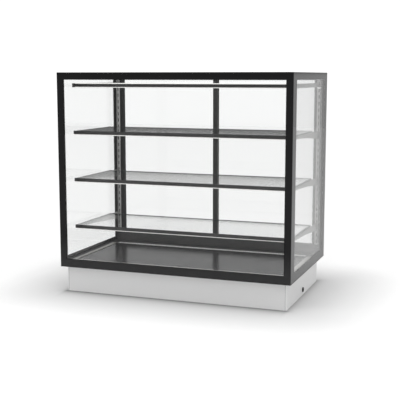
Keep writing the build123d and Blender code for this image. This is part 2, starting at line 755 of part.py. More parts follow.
pieces["air_duct"] = air_duct()
pieces["heater_elements"] = heater_elements()
pieces["fan_frames"] = group(fan_frame(-fan_x), fan_frame(fan_x))
pieces["fan_rotor_left"] = fan_rotor(-fan_x)
pieces["fan_rotor_right"] = fan_rotor(fan_x)


# Sliding door: stiles, shoe and top bar round a grooved pane, with a pin across each wheel's pocket
def door_sight(x0, x1, outer_x):
    """The X limits of the clear glass between a door's two stiles."""
    left = door_grip if outer_x == x0 else door_stile
    return x0 + left, x1 - (door_stile + door_grip - left)


def door_frame(x0, x1, y, outer_x):
    y1 = y + door_t
    sight0, sight1 = door_sight(x0, x1, outer_x)
    body = slab(x0, x1, y, y1, door_z0, door_z1)
    body -= slab(sight0, sight1, y, y1, door_z0 + door_shoe_h, door_z1 - door_top_h)
    mid = y + door_t / 2
    half = door_glass_t / 2 + seat
    reach = groove_deep
    body -= slab(sight0 - reach, sight1 + reach, mid - half, mid + half,
                 door_z0 + door_shoe_h - reach, door_z1 - door_top_h + reach)
    room = roller_r + roller_room
    for x in (x0 + roller_inset, x1 - roller_inset):
        pocket = roller_w / 2 + roller_side
        body -= slab(x - room, x + room, mid - pocket, mid + pocket, door_z0, roller_z + room)
        body += rod_y(x, roller_z, axle_r, mid - pocket, mid + pocket)
    inward = 1 if outer_x < 0 else -1
    pull_mid = outer_x + inward * (pull_edge + pull_w / 2)
    z = counter_z + pull_z
    wall = stile_wall
    low, high = z - pull_h / 2 - wall, z + pull_h / 2 + wall
    grip = (outer_x, inward, door_grip, [(door_z0, low), (high, door_z1)])
    meeting = (x0 + x1 - outer_x, -inward, door_stile, [(door_z0, door_z1)])
    for edge, side, width, spans in (grip, meeting):
        a, b = sorted((edge + side * wall, edge + side * (width - reach - wall)))
        for foot, head in spans:
            body -= slab(a, b, y + wall, y1 - wall, foot, head)
    cup = slab(pull_mid - pull_w / 2, pull_mid + pull_w / 2, y1 - pull_deep, y1,
               z - pull_h / 2, z + pull_h / 2)
    cup = chamfer(cup.edges().filter_by(Axis.Y), pull_w / 3)
    return body - cup


def door_pane(x0, x1, y, outer_x):
    reach = groove_deep - 2 * seat
    mid = y + door_t / 2
    sight0, sight1 = door_sight(x0, x1, outer_x)
    return slab(sight0 - reach, sight1 + reach, mid - door_glass_t / 2, mid + door_glass_t / 2,
                door_z0 + door_shoe_h - reach, door_z1 - door_top_h + reach)


def door_roller(x, y):
    mid = y + door_t / 2
    wheel = rod_y(x, roller_z, roller_r, mid - roller_w / 2, mid + roller_w / 2)
    return wheel - rod_y(x, roller_z, axle_r + axle_clear, mid - roller_w / 2, mid + roller_w / 2)


# Rubber stops on the jambs, two for each door plane at each side
def door_bumpers():
    web = bond_x - jamb_wall
    stops = []
    for y in door_ys:
        mid = y + door_t / 2
        for rise in bumper_rises:
            z = counter_z + rise
            stop = slab(door_out_x + seat, web, mid - bumper_w / 2, mid + bumper_w / 2, z, z + bumper_h)
            stop = chamfer(stop.faces().sort_by(Axis.X)[0].edges(), bumper_edge)
            stops += [stop, other_side(stop)]
    return group(*stops)


pieces["door_bumpers"] = door_bumpers()
doors = {"left": (-door_out_x, door_in_x, door_ys[0], -door_out_x),
         "right": (-door_in_x, door_out_x, door_ys[1], door_out_x)}
for name, (x0, x1, y, outer) in doors.items():
    pieces["door_frame_" + name] = door_frame(x0, x1, y, outer)
    pieces["door_glass_" + name] = door_pane(x0, x1, y, outer)
    ends = ("outer", "inner") if outer == x0 else ("inner", "outer")
    for end, x in zip(ends, (x0 + roller_inset, x1 - roller_inset)):
        pieces["roller_" + name + "_" + end] = door_roller(x, y)


# Rear control panel: folded cover with cut-outs and cooling slots
def control_panel():
    half = bond_x - seat
    t = panel_sheet
    y0 = panel_y - panel_fold
    outline = [(panel_y, panel_z0), (panel_y, panel_z1), (y0, panel_z1), (y0, panel_z1 - t),
               (panel_y - t, panel_z1 - t), (panel_y - t, panel_z0 + t), (y0, panel_z0 + t), (y0, panel_z0)]
    cover = along_x(outline, -half, half)
    cuts = [slab(control_x - control_body_w / 2 - slip, control_x + control_body_w / 2 + slip,
                 panel_y - t, panel_y, panel_mid - control_body_h / 2 - slip,
                 panel_mid + control_body_h / 2 + slip)]
    for x in switch_xs:
        cuts.append(slab(x - switch_body_w / 2 - slip, x + switch_body_w / 2 + slip, panel_y - t, panel_y,
                         panel_mid - switch_body_h / 2 - slip, panel_mid + switch_body_h / 2 + slip))
    for col in range(vent_cols):
        for row in range(vent_rows):
            x = bond_x - vent_in - vent_l - col * vent_pitch_x
            z = panel_mid + (row - (vent_rows - 1) / 2) * vent_pitch_z
            cuts.append(slab(x, x + vent_l, panel_y - t, panel_y, z - vent_h / 2, z + vent_h / 2))
    wide, tall = screw_r + screw_slot, screw_r + slip
    for x in panel_screw_xs:
        cuts.append(slab(x - wide, x + wide, panel_y - t, panel_y, panel_mid - tall, panel_mid + tall))
    return cover - cuts


# Hex-headed screws; a six-sided bar stands for the thread
def panel_screws():
    screws = []
    for x in panel_screw_xs:
        seat_plane = Plane((x, panel_y, panel_mid), x_dir=(1, 0, 0), z_dir=(0, 1, 0))
        head = extrude(RegularPolygon(screw_head_r, 6), screw_head_t)
        screws.append(seat_plane * (head + extrude(RegularPolygon(screw_r, 6), -screw_l)))
    return group(*screws)


key_zs = [panel_mid + key_pitch, panel_mid, panel_mid - key_pitch]
control_top = panel_y + control_face


# Thermostat: bezel and body in one moulding, recessed display, three key windows
def controller():
    bezel = slab(control_x - control_w / 2, control_x + control_w / 2, panel_y, control_top,
                 panel_mid - control_h / 2, panel_mid + control_h / 2)
    bezel = chamfer(bezel.edges().filter_by(Axis.Y), control_corner)
    bezel = chamfer(bezel.faces().sort_by(Axis.Y)[-1].edges(), control_edge)
    body = slab(control_x - control_body_w / 2, control_x + control_body_w / 2,
                panel_y - control_body_d, panel_y, panel_mid - control_body_h / 2,
                panel_mid + control_body_h / 2)
    mould = bezel + body
    screen_x = control_x + display_x
    mould -= slab(screen_x - display_w / 2, screen_x + display_w / 2,
                  control_top - display_deep, control_top,
                  panel_mid - display_h / 2, panel_mid + display_h / 2)
    inner = control_top - control_wall
    for z in key_zs:
        x = control_x + key_x
        mould -= slab(x - key_w / 2, x + key_w / 2, inner, control_top, z - key_h / 2, z + key_h / 2)
        wide, tall = key_w / 2 + key_flange + seat, key_h / 2 + key_flange + seat
        mould -= slab(x - wide, x + wide, inner - key_room, inner, z - tall, z + tall)
    return mould


def controller_key(z):
    x = control_x + key_x
    inner = control_top - control_wall
    flange_y = inner - seat - key_flange_t
    cap = slab(x - key_w / 2 + slip, x + key_w / 2 - slip, flange_y, control_top + key_proud,
               z - key_h / 2 + slip, z + key_h / 2 - slip)
    cap = chamfer(cap.faces().sort_by(Axis.Y)[-1].edges(), key_edge)
    wide, tall = key_w / 2 + key_flange, key_h / 2 + key_flange
    return cap + slab(x - wide, x + wide, flange_y, flange_y + key_flange_t, z - tall, z + tall)


# Rocker switch housing, open towards the rear
def switch_housing(x):
    rim = slab(x - switch_w / 2, x + switch_w / 2, panel_y, panel_y + switch_rim,
               panel_mid - switch_h / 2, panel_mid + switch_h / 2)
    rim = chamfer(rim.faces().sort_by(Axis.Y)[-1].edges(), switch_edge)
    body = slab(x - switch_body_w / 2, x + switch_body_w / 2, panel_y - switch_body_d, panel_y,
                panel_mid - switch_body_h / 2, panel_mid + switch_body_h / 2)
    well = slab(x - switch_body_w / 2 + switch_wall, x + switch_body_w / 2 - switch_wall,
                panel_y - switch_body_d + switch_floor, panel_y + switch_rim,
                panel_mid - switch_body_h / 2 + switch_wall, panel_mid + switch_body_h / 2 - switch_wall)
    return rim + body - well


# Rocker in its off position: its lower end is out
def rocker(x):
    half_w = switch_body_w / 2 - switch_wall - seat
    face = [(rocker_under, -rocker_half), (rocker_face, -rocker_half), (rocker_face - rocker_dish, 0),
            (rocker_face, rocker_half), (rocker_under, rocker_half)]
    cap = along_x(face, -half_w, half_w)
    belly = rod_x(0, 0, rocker_belly, -half_w, half_w)
    pivot_y = panel_y - rocker_pivot
    return Pos(x, pivot_y, panel_mid) * Rot(-rocker_tilt, 0, 0) * (cap + belly)


pieces["control_panel"] = control_panel()
pieces["panel_screws"] = panel_screws()
pieces["controller"] = controller()
for name, z in zip(("up", "set", "down"), key_zs):
    pieces["key_" + name] = controller_key(z)
pieces["switch_housings"] = group(*[switch_housing(x) for x in switch_xs])
for name, x in zip(("power", "light"), switch_xs):
    pieces["rocker_" + name] = rocker(x)


# Boxes on the base pan: lamp driver with end flanges, and terminal box with a lid
def lamp_driver():
    length, width, height = driver_size
    x, y = -fan_x - length / 2, fan_y0 - driver_rear - width
    body = slab(x, x + length, y, y + width, pan_z, pan_z + height)
    body = chamfer(body.edges().filter_by(Axis.X).group_by(Axis.Z)[-1], height / 6)
    foot = slab(x - driver_foot_l, x + length + driver_foot_l, y + width / 6, y + width * 5 / 6,
                pan_z, pan_z + driver_foot_t)
    return body + foot


def terminal_box():
    length, width, height = terminal_size
    x, y = tank_x - terminal_in - length, cable_y - width / 2
    lid_z, over = pan_z + height - terminal_lid_t, terminal_lid_over
    body = slab(x, x + length, y, y + width, pan_z, lid_z)
    body = chamfer(body.edges().filter_by(Axis.Z), width / 15)
    lid = slab(x - over, x + length + over, y - over, y + width + over, lid_z, pan_z + height)
    lid = chamfer(lid.edges().filter_by(Axis.Z), width / 15 + over / 2)
    return body + lid


pieces["lamp_driver"] = lamp_driver()
pieces["terminal_box"] = terminal_box()

os.makedirs("parts", exist_ok=True)
for name, piece in pieces.items():
    export_step(piece, "parts/" + name + ".step")
print(len(pieces), "nodes; shelves at", [round(z, 1) for z in shelf_zs], "slots", slot_count)
print("door travel", round(door_out_x - door_in_x, 2), "door planes", [round(y, 2) for y in door_ys])
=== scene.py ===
import math

import bmesh
import bpy
import numpy as np
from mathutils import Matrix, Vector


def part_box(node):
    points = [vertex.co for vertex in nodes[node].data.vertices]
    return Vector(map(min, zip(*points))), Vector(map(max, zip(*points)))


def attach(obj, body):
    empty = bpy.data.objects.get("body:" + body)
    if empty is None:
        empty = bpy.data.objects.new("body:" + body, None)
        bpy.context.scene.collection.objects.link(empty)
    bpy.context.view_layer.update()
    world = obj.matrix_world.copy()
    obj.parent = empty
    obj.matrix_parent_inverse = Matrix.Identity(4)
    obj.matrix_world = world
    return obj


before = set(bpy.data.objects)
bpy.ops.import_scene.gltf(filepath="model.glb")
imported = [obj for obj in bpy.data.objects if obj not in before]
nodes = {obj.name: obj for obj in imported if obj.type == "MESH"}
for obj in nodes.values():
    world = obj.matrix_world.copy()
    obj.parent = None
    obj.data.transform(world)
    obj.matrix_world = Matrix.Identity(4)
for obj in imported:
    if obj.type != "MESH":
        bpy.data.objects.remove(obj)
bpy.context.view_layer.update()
print("frame loaded:", len(nodes), "nodes")


# The low and the high corner of a CAD node's box, in metres.
def lowHigh(node):
    low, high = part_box(node)
    return np.array(low), np.array(high)


# Camera and light. The camera was solved from the photo. Places and sizes are in metres, the lens and
# its sensor in millimetres, angles in radians and lamps in watts. The other values are shares of white,
# and pairs are where a change begins and ends.
view = {"place": (1.54738, -4.15955, 1.08607), "down": 0.142336, "turn": 0.351505, "lens": 77.72,
        "sensor": 36.0, "clipEnd": 60.0, "glassLayers": 32}
light = {"sky": 0.86, "key": 45.0, "keySize": 3.2, "keyPlace": (-2.2, -3.4, 4.2),
         "fill": 28.0, "fillSize": 4.0, "fillPlace": (3.4, -1.0, 3.0),
         "dim": 0.42, "dimFrom": (-0.3, 0.1), "seen": 1.1, "panel": (-0.236, 0.0), "panelSoft": 0.015,
         "panelTop": (0.5, 0.35), "panelRear": (0.2, 0.5), "panelGlow": 0.95,
         "horizon": [(0.0, 0.62), (0.012, 0.15), (0.055, 0.15), (0.11, 0.45), (0.165, 0.85), (0.34, 0.62)]}
floorLook = {"mirrored": (0.34, 0.8), "dimFrom": (-1.7, -0.9), "plain": 0.8, "seen": (0.76, 0.97),
             "contactShade": (0.48, 0.9), "contactShadeReach": (0.024, 0.035), "shadeLineDeep": 0.01, "shadeLineSide": 0.02,
             "clear": 0.45, "lift": (0.0, 0.12), "farFrom": (1.0, 6.0), "farLift": 0.08, "half": 14.0}

camera = bpy.data.cameras.new("camera")
camera.lens = view["lens"]
camera.sensor_width = view["sensor"]
camera.clip_end = view["clipEnd"]
cameraObject = bpy.data.objects.new("camera", camera)
cameraObject.location = view["place"]
cameraObject.rotation_euler = (math.pi / 2 - view["down"], 0, view["turn"])
bpy.context.scene.collection.objects.link(cameraObject)
bpy.context.scene.camera = cameraObject
bpy.context.scene.view_settings.view_transform = "Standard"
bpy.context.scene.cycles.transparent_max_bounces = view["glassLayers"]


# A square area lamp at a place, turned to face the target.
def aimedLamp(name, place, power, size, target=(0, 0, 0.5)):
    lamp = bpy.data.lights.new(name, "AREA")
    lamp.energy = power
    lamp.size = size
    holder = bpy.data.objects.new(name, lamp)
    holder.location = place
    away = [end - start for start, end in zip(target, place)]
    flat = math.hypot(away[0], away[1])
    holder.rotation_euler = (math.atan2(flat, away[2]), 0, math.atan2(away[1], away[0]) + math.pi / 2)
    bpy.context.scene.collection.objects.link(holder)


aimedLamp("keyLamp", light["keyPlace"], light["key"], light["keySize"])
aimedLamp("fillLamp", light["fillPlace"], light["fill"], light["fillSize"])


# Small helpers that build materials out of nodes.
def addNode(tree, kind, inputs=None, **settings):
    node = tree.nodes.new(kind)
    for key, value in settings.items():
        setattr(node, key, value)
    for key, value in (inputs or {}).items():
        if isinstance(value, bpy.types.NodeSocket):
            tree.links.new(value, node.inputs[key])
        else:
            node.inputs[key].default_value = value
    return node


def calc(tree, operation, *values):
    return addNode(tree, "ShaderNodeMath", dict(enumerate(values)), operation=operation).outputs[0]


def blendColour(tree, amount, first, second):
    node = addNode(tree, "ShaderNodeMix", {0: amount, 6: (*first, 1), 7: (*second, 1)}, data_type="RGBA")
    return node.outputs[2]


# A pattern from 0 to 1 spread between two values.
def spread(tree, amount, low, high):
    return addNode(tree, "ShaderNodeMapRange", {0: amount, 3: low, 4: high}).outputs[0]


# Noise from 0 to 1, as fine as scale says, and finer along the axes with a larger stretch.
def grain(tree, place, scale, stretch=(1, 1, 1), detail=3.0):
    moved = addNode(tree, "ShaderNodeMapping", {"Vector": place, "Scale": stretch}).outputs[0]
    return addNode(tree, "ShaderNodeTexNoise", {"Vector": moved, "Scale": scale, "Detail": detail}).outputs[0]


def startMaterial(name):
    material = bpy.data.materials.new(name)
    material.use_nodes = True
    tree = material.node_tree
    surface = tree.nodes["Principled BSDF"]
    place = addNode(tree, "ShaderNodeTexCoord").outputs["Object"]
    return material, tree, surface, place


def addBump(tree, surface, height, strength, distance):
    bump = addNode(tree, "ShaderNodeBump", {"Height": height, "Strength": strength, "Distance": distance})
    tree.links.new(bump.outputs[0], surface.inputs["Normal"])


def shade(colour, factor):
    return tuple(min(1.0, c * factor) for c in colour)


# Sprayed or anodised metal: slow colour drift, fine orange peel, worn shine.
def coatedMetal(name, colour, rough=0.38, drift=0.12, peel=0.12, metallic=0.0, coat=0.0):
    material, tree, surface, place = startMaterial(name)
    slow = grain(tree, place, 7.0)
    fine = grain(tree, place, 900.0, detail=2.0)
    tone = calc(tree, "ADD", calc(tree, "MULTIPLY", slow, 0.7), calc(tree, "MULTIPLY", fine, 0.3))
    tree.links.new(blendColour(tree, tone, shade(colour, 1 - drift), shade(colour, 1 + drift)),
                   surface.inputs["Base Color"])
    tree.links.new(spread(tree, slow, rough - 0.06, rough + 0.06), surface.inputs["Roughness"])
    surface.inputs["Metallic"].default_value = metallic
    surface.inputs["Coat Weight"].default_value = coat
    addBump(tree, surface, fine, peel, 0.0004)
    return material


# The same, with outer flanks of another colour, further than half the width from the middle.
def twoToneMetal(name, colour, flank, middle, half, **settings):
    material = coatedMetal(name, colour, **settings)
    tree = material.node_tree
    surface = tree.nodes["Principled BSDF"]
    place = addNode(tree, "ShaderNodeTexCoord").outputs["Object"]
    side = calc(tree, "ABSOLUTE", addNode(tree, "ShaderNodeSeparateXYZ", {0: place}).outputs[0])
    onFlank = calc(tree, "GREATER_THAN", calc(tree, "ABSOLUTE", calc(tree, "SUBTRACT", side, middle)), half)
    front = surface.inputs["Base Color"].links[0].from_socket
    mixed = addNode(tree, "ShaderNodeMix", {0: onFlank, 6: front, 7: (*flank, 1)}, data_type="RGBA")
    tree.links.new(mixed.outputs[2], surface.inputs["Base Color"])
    return material


# Dark glass of the deck: a mirror at a low angle that is dulled by warm, smeared grease.
def deckGlass(name, colour):
    material, tree, surface, place = startMaterial(name)
    smear = grain(tree, place, 9.0, detail=2.0)
    smeared = blendColour(tree, smear, shade(colour, 0.6), shade(colour, 1.6))
    tree.links.new(smeared, surface.inputs["Base Color"])
    tree.links.new(spread(tree, smear, 0.12, 0.24), surface.inputs["Roughness"])
    surface.inputs["Specular IOR Level"].default_value = 0.1
    return material


# Brushed steel: long thin scratches, stretched along the brushing.
def brushedMetal(name, colour, rough=0.34, stretch=(2, 2, 900), drift=0.1, scratch=0.08, metallic=1.0):
    material, tree, surface, place = startMaterial(name)
    lines = grain(tree, place, 1.0, stretch, detail=6.0)
    slow = grain(tree, place, 3.0)
    tone = calc(tree, "ADD", calc(tree, "MULTIPLY", lines, 0.65), calc(tree, "MULTIPLY", slow, 0.35))
    tree.links.new(blendColour(tree, tone, shade(colour, 1 - drift), shade(colour, 1 + drift)),
                   surface.inputs["Base Color"])
    tree.links.new(spread(tree, lines, rough - 0.05, rough + 0.08), surface.inputs["Roughness"])
    surface.inputs["Metallic"].default_value = metallic
    addBump(tree, surface, lines, scratch, 0.0005)
    return material


# Moulded plastic or rubber: fine spark-eroded texture.
def moulded(name, colour, rough=0.5, texture=0.2, scale=1400, drift=0.08):
    material, tree, surface, place = startMaterial(name)
    pits = grain(tree, place, scale, detail=2.0)
    slow = grain(tree, place, 20.0)
    tree.links.new(blendColour(tree, slow, shade(colour, 1 - drift), shade(colour, 1 + drift)),
                   surface.inputs["Base Color"])
    tree.links.new(spread(tree, pits, rough - 0.08, rough + 0.08), surface.inputs["Roughness"])
    addBump(tree, surface, pits, texture, 0.0003)
    return material


# 1 outside a window on two of the Object axes, 0 inside it.
def outsideWindow(tree, place, window):
    split = addNode(tree, "ShaderNodeSeparateXYZ", {0: place})
    outside = None
    for axis, (low, high) in window.items():
        middle, half = (low + high) / 2, (high - low) / 2
        away = calc(tree, "ABSOLUTE", calc(tree, "SUBTRACT", split.outputs[axis], middle))
        past = calc(tree, "GREATER_THAN", away, half)
        outside = past if outside is None else calc(tree, "MAXIMUM", outside, past)
    return outside


glassTint = (0.99, 0.992, 0.991)       # what one face of a pane lets through


# Clear float glass: it lets the view through and mirrors by Fresnel. Outside its window is the border,
# either the printed black one or the dark green of a ground edge.
def floatGlass(name, window, border):
    material, tree, surface, place = startMaterial(name)
    smear = grain(tree, place, 5.0)
    facing = addNode(tree, "ShaderNodeLayerWeight", {"Blend": 0.5}).outputs["Facing"]
    mirror = spread(tree, calc(tree, "POWER", facing, 5.0), 0.04, 1.0)
    clear = addNode(tree, "ShaderNodeBsdfTransparent", {"Color": (*glassTint, 1)}).outputs[0]
    gloss = addNode(tree, "ShaderNodeBsdfGlossy", {"Color": (1, 1, 1, 1)})
    tree.links.new(spread(tree, smear, 0.0, 0.03), gloss.inputs["Roughness"])
    pane = addNode(tree, "ShaderNodeMixShader", {0: mirror, 1: clear, 2: gloss.outputs[0]}).outputs[0]
    dots = grain(tree, place, 300.0)
    dotted = blendColour(tree, dots, shade(border, 0.85), shade(border, 1.15))
    tree.links.new(dotted, surface.inputs["Base Color"])
    tree.links.new(spread(tree, smear, 0.04, 0.07), surface.inputs["Roughness"])
    outside = outsideWindow(tree, place, window)
    whole = addNode(tree, "ShaderNodeMixShader", {0: outside, 1: pane, 2: surface.outputs[0]})
    tree.links.new(whole.outputs[0], tree.nodes["Material Output"].inputs["Surface"])
    return material


# Milky acrylic lit from behind, a little brighter over each diode.
def litAcrylic(name, colour, glow):
    pitch, dip = 0.0167, 0.15      # from diode to diode, and share of the glow lost between them
    material, tree, surface, place = startMaterial(name)
    split = addNode(tree, "ShaderNodeSeparateXYZ", {0: place})
    wave = calc(tree, "SINE", calc(tree, "MULTIPLY", split.outputs[0], 2 * math.pi / pitch))
    cloud = grain(tree, place, 90.0)
    level = calc(tree, "ADD", calc(tree, "MULTIPLY", wave, dip * 0.5), calc(tree, "MULTIPLY", cloud, dip))
    glowing = spread(tree, level, glow * (1 - dip), glow * (1 + dip))
    tree.links.new(glowing, surface.inputs["Emission Strength"])
    surface.inputs["Base Color"].default_value = (*colour, 1)
    surface.inputs["Emission Color"].default_value = (*colour, 1)
    surface.inputs["Roughness"].default_value = 0.45
    return material


# Finishes of the CAD nodes. printed holds how far each pane's border reaches in from the pane's edges.
printed = {"frontSide": 0.034, "frontTop": 0.030, "frontBottom": 0.039,
           "sideFront": 0.058, "sideRear": 0.062, "sideTop": 0.028, "sideBottom": 0.041,
           "topSide": 0.034, "topFront": 0.034, "topRear": 0.062, "colour": (0.006, 0.006, 0.0065)}
edgeBand, rearBand, flankBand = 0.0012, 0.0035, 0.0006     # green edges, rear edge, pilasters' flanks
edgeGreen = (0.02, 0.05, 0.04)


def windowOf(node, reach):
    low, high = lowHigh(node)
    return {axis: (low[axis] + fromLow, high[axis] - fromHigh) for axis, (fromLow, fromHigh) in reach.items()}


frontReach = {0: (printed["frontSide"], printed["frontSide"]),
              2: (printed["frontBottom"], printed["frontTop"])}
sideReach = {1: (printed["sideFront"], printed["sideRear"]),
             2: (printed["sideBottom"], printed["sideTop"])}
topReach = {0: (printed["topSide"], printed["topSide"]),
            1: (printed["topFront"], printed["topRear"])}
shelfReach = {0: (edgeBand, edgeBand), 1: (edgeBand, rearBand)}
doorReach = {0: (edgeBand, edgeBand), 2: (edgeBand, edgeBand)}
black = printed["colour"]

finishes = {
    "front_glass": floatGlass("printedFront", windowOf("front_glass", frontReach), black),
    "side_glass_left": floatGlass("printedLeft", windowOf("side_glass_left", sideReach), black),
    "side_glass_right": floatGlass("printedRight", windowOf("side_glass_right", sideReach), black),
    "top_glass": floatGlass("printedTop", windowOf("top_glass", topReach), black),
    "tank_casing": brushedMetal("tankSteel", (0.82, 0.82, 0.82), rough=0.4, drift=0.03, scratch=0.03,
                                metallic=0.6),
    "tank_base_pan": brushedMetal("panZinc", (0.5, 0.51, 0.52), rough=0.5, stretch=(40, 40, 40)),
    "cable_grommet": moulded("grommetRubber", (0.012, 0.012, 0.012), rough=0.6),
    "counter_seal": moulded("sealFoam", (0.015, 0.015, 0.015), rough=0.85, texture=0.5),
    "door_bumpers": moulded("stopRubber", (0.012, 0.012, 0.012), rough=0.65),
    "deck_trim": brushedMetal("trimSteel", (0.62, 0.61, 0.59), rough=0.3, stretch=(2, 2, 600)),
    "deck_heater_mats": moulded("matFoil", (0.35, 0.16, 0.04), rough=0.4),
    "air_duct": brushedMetal("ductZinc", (0.55, 0.56, 0.57), rough=0.45, stretch=(30, 30, 30)),
    "heater_elements": coatedMetal("elementNickel", (0.35, 0.32, 0.29), rough=0.4, metallic=0.9),
    "fan_frames": moulded("fanPlastic", (0.015, 0.015, 0.015), rough=0.5),
    "panel_screws": brushedMetal("screwZinc", (0.6, 0.6, 0.6), rough=0.3, stretch=(60, 60, 60)),
    "controller": moulded("controllerPlastic", (0.016, 0.016, 0.017), rough=0.45),
    "switch_housings": moulded("switchPlastic", (0.012, 0.012, 0.012), rough=0.3, texture=0.08),
    "lamp_driver": coatedMetal("driverWhite", (0.62, 0.62, 0.6)),
    "terminal_box": moulded("boxPlastic", (0.3, 0.31, 0.32), rough=0.55),
    "light_diffusers": litAcrylic("milkyStrip", (0.9, 0.89, 0.87), 0.45),
    "deck_plate": deckGlass("deckGlass", (0.008, 0.008, 0.009)),
    "control_panel": coatedMetal("panelBlack", (0.02, 0.02, 0.02), rough=0.42),
    "door_track": brushedMetal("trackAluminium", (0.5, 0.5, 0.5), rough=0.4, stretch=(2, 600, 600)),
    "lamp_cover": coatedMetal("lampBlack", (0.03, 0.03, 0.03), rough=0.35),
}
pilasterLow, pilasterHigh = lowHigh("pilaster_right")
pilasterMiddle = (pilasterLow[0] + pilasterHigh[0]) / 2
pilasterHalf = (pilasterHigh[0] - pilasterLow[0]) / 2 - flankBand
shared = [
    (coatedMetal("frameBlack", (0.014, 0.014, 0.014), rough=0.4), ["base_frame"]),
    (coatedMetal("grilleBlack", (0.026, 0.026, 0.026), rough=0.42), ["air_grille"]),
    (coatedMetal("kickBlack", (0.066, 0.066, 0.066), rough=0.42), ["rear_sill"]),
    (coatedMetal("innerBlack", (0.012, 0.012, 0.012), rough=0.45), ["top_frame", "corner_posts"]),
    (brushedMetal("rearAnodised", (0.022, 0.022, 0.022), rough=0.38, stretch=(300, 300, 4)),
     ["door_header", "jamb_left", "jamb_right"]),
    (twoToneMetal("pilasterGrey", (0.58, 0.575, 0.565), (0.02, 0.02, 0.02), pilasterMiddle, pilasterHalf,
                  rough=0.4, metallic=0.2),
     ["pilaster_left", "pilaster_right"]),
    (coatedMetal("bracketGrey", (0.3, 0.3, 0.29), rough=0.36, metallic=0.3),
     ["shelf_brackets_lower", "shelf_brackets_middle", "shelf_brackets_upper", "lamp_arm_left",
      "lamp_arm_right"]),
    (coatedMetal("railDark", (0.035, 0.035, 0.035), rough=0.3),
     ["shelf_rail_lower", "shelf_rail_middle", "shelf_rail_upper"]),
    (coatedMetal("doorAnodised", (0.021, 0.021, 0.021), rough=0.36), ["door_frame_left", "door_frame_right"]),
    (moulded("rotorPlastic", (0.02, 0.02, 0.02), rough=0.45), ["fan_rotor_left", "fan_rotor_right"]),
    (moulded("rockerPlastic", (0.014, 0.014, 0.014), rough=0.25, texture=0.05),
     ["rocker_power", "rocker_light"]),
    (moulded("keyRubber", (0.08, 0.08, 0.085), rough=0.6), ["key_up", "key_set", "key_down"]),
    (moulded("rollerAcetal", (0.7, 0.69, 0.65), rough=0.35, texture=0.05),
     ["roller_left_outer", "roller_left_inner", "roller_right_outer", "roller_right_inner"]),
]
for material, names in shared:
    for name in names:
        finishes[name] = material
for level in ("lower", "middle", "upper"):
    name = "shelf_glass_" + level
    finishes[name] = floatGlass("pane" + level.title(), windowOf(name, shelfReach), edgeGreen)
for side in ("left", "right"):
    name = "door_glass_" + side
    finishes[name] = floatGlass("doorPane" + side.title(), windowOf(name, doorReach), edgeGreen)

for name, piece in nodes.items():
    piece.data.materials.clear()
    piece.data.materials.append(finishes[name])
print("finishes set:", len(finishes))


# A mesh from arrays, riding on a body. Its faces are turned outwards and its sharp edges kept.
def makePiece(name, points, faces, material, body, slot=None):
    mesh = bpy.data.meshes.new(name)
    mesh.from_pydata(np.asarray(points).reshape(-1, 3).tolist(), [], faces)
    work = bmesh.new()
    work.from_mesh(mesh)
    bmesh.ops.recalc_face_normals(work, faces=work.faces)
    work.to_mesh(mesh)
    work.free()
    mesh.shade_smooth()
    mesh.set_sharp_from_angle(angle=math.radians(35))
    mesh.materials.append(material)
    piece = bpy.data.objects.new(name, mesh)
    bpy.context.scene.collection.objects.link(piece)
    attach(piece, body)


# Faces of a grid of rows by columns, closed round the columns, and round the rows too if asked.
def tubeFaces(rows, columns, closedRows):
    row, column = np.meshgrid(np.arange(rows if closedRows else rows - 1), np.arange(columns), indexing="ij")
    here, above = row * columns, (row + 1) % rows * columns
    beside = (column + 1) % columns
    quads = np.stack([here + column, here + beside, above + beside, above + column], -1)
    faces = quads.reshape(-1, 4).tolist()
    if not closedRows:
        faces.append(np.arange(columns)[::-1].tolist())
        faces.append(((rows - 1) * columns + np.arange(columns)).tolist())
    return faces


# A straight run: a closed profile on the two other axes, carried along one axis.
def straightRun(axis, low, high, profile):
    others = [n for n in range(3) if n != axis]
    points = np.zeros((2, len(profile), 3))
    points[:, :, others] = profile
    points[0, :, axis], points[1, :, axis] = low, high
    return points, tubeFaces(2, len(profile), False)


# A round form about an axis: radius and height along it, turned through a full circle.
def roundForm(axis, centre, profile, count=24):
    others = [n for n in range(3) if n != axis]
    turn = np.linspace(0, 2 * math.pi, count, endpoint=False)
    profile = np.asarray(profile)
    points = np.zeros((len(profile), count, 3)) + np.asarray(centre)
    points[:, :, others[0]] += profile[:, :1] * np.cos(turn)
    points[:, :, others[1]] += profile[:, :1] * np.sin(turn)
    points[:, :, axis] += profile[:, 1:]
    return points, tubeFaces(len(profile), count, False)


# Several forms as the points and faces of one mesh.
def joined(parts):
    points, faces, start = [], [], 0
    for shapePoints, shapeFaces in parts:
        flat = np.asarray(shapePoints).reshape(-1, 3)
        points.append(flat)
        faces += [[index + start for index in face] for face in shapeFaces]
        start += len(flat)
    return np.concatenate(points), faces


# A ring about an axis: a closed profile of radius and height, turned through a full circle.
def roundRing(axis, centre, profile, count=24):
    points, faces = roundForm(axis, centre, profile, count)
    return points, tubeFaces(len(profile), count, True)


# A profile of outward and rearward steps, carried round a rectangle with round corners that stands
# upright at depth y.
def ringRun(x0, x1, z0, z1, y, bend, profile, steps=6):
    turn = np.linspace(0, math.pi / 2, steps)
    corners = [(x1 - bend, z1 - bend, 0), (x0 + bend, z1 - bend, 1), (x0 + bend, z0 + bend, 2),
               (x1 - bend, z0 + bend, 3)]
    path, outward = [], []
    for x, z, quarter in corners:
        angle = turn + quarter * math.pi / 2
        away = np.stack([np.cos(angle), np.zeros(steps), np.sin(angle)], -1)
        path.append(np.array([x, y, z]) + bend * away)
        outward.append(away)
    path, outward = np.concatenate(path), np.concatenate(outward)
    profile = np.asarray(profile)
    points = path[:, None, :] + profile[None, :, :1] * outward[:, None, :]
    points = points + profile[None, :, 1:] * np.array([0, 1, 0])
    return points, tubeFaces(len(path), len(profile), True)


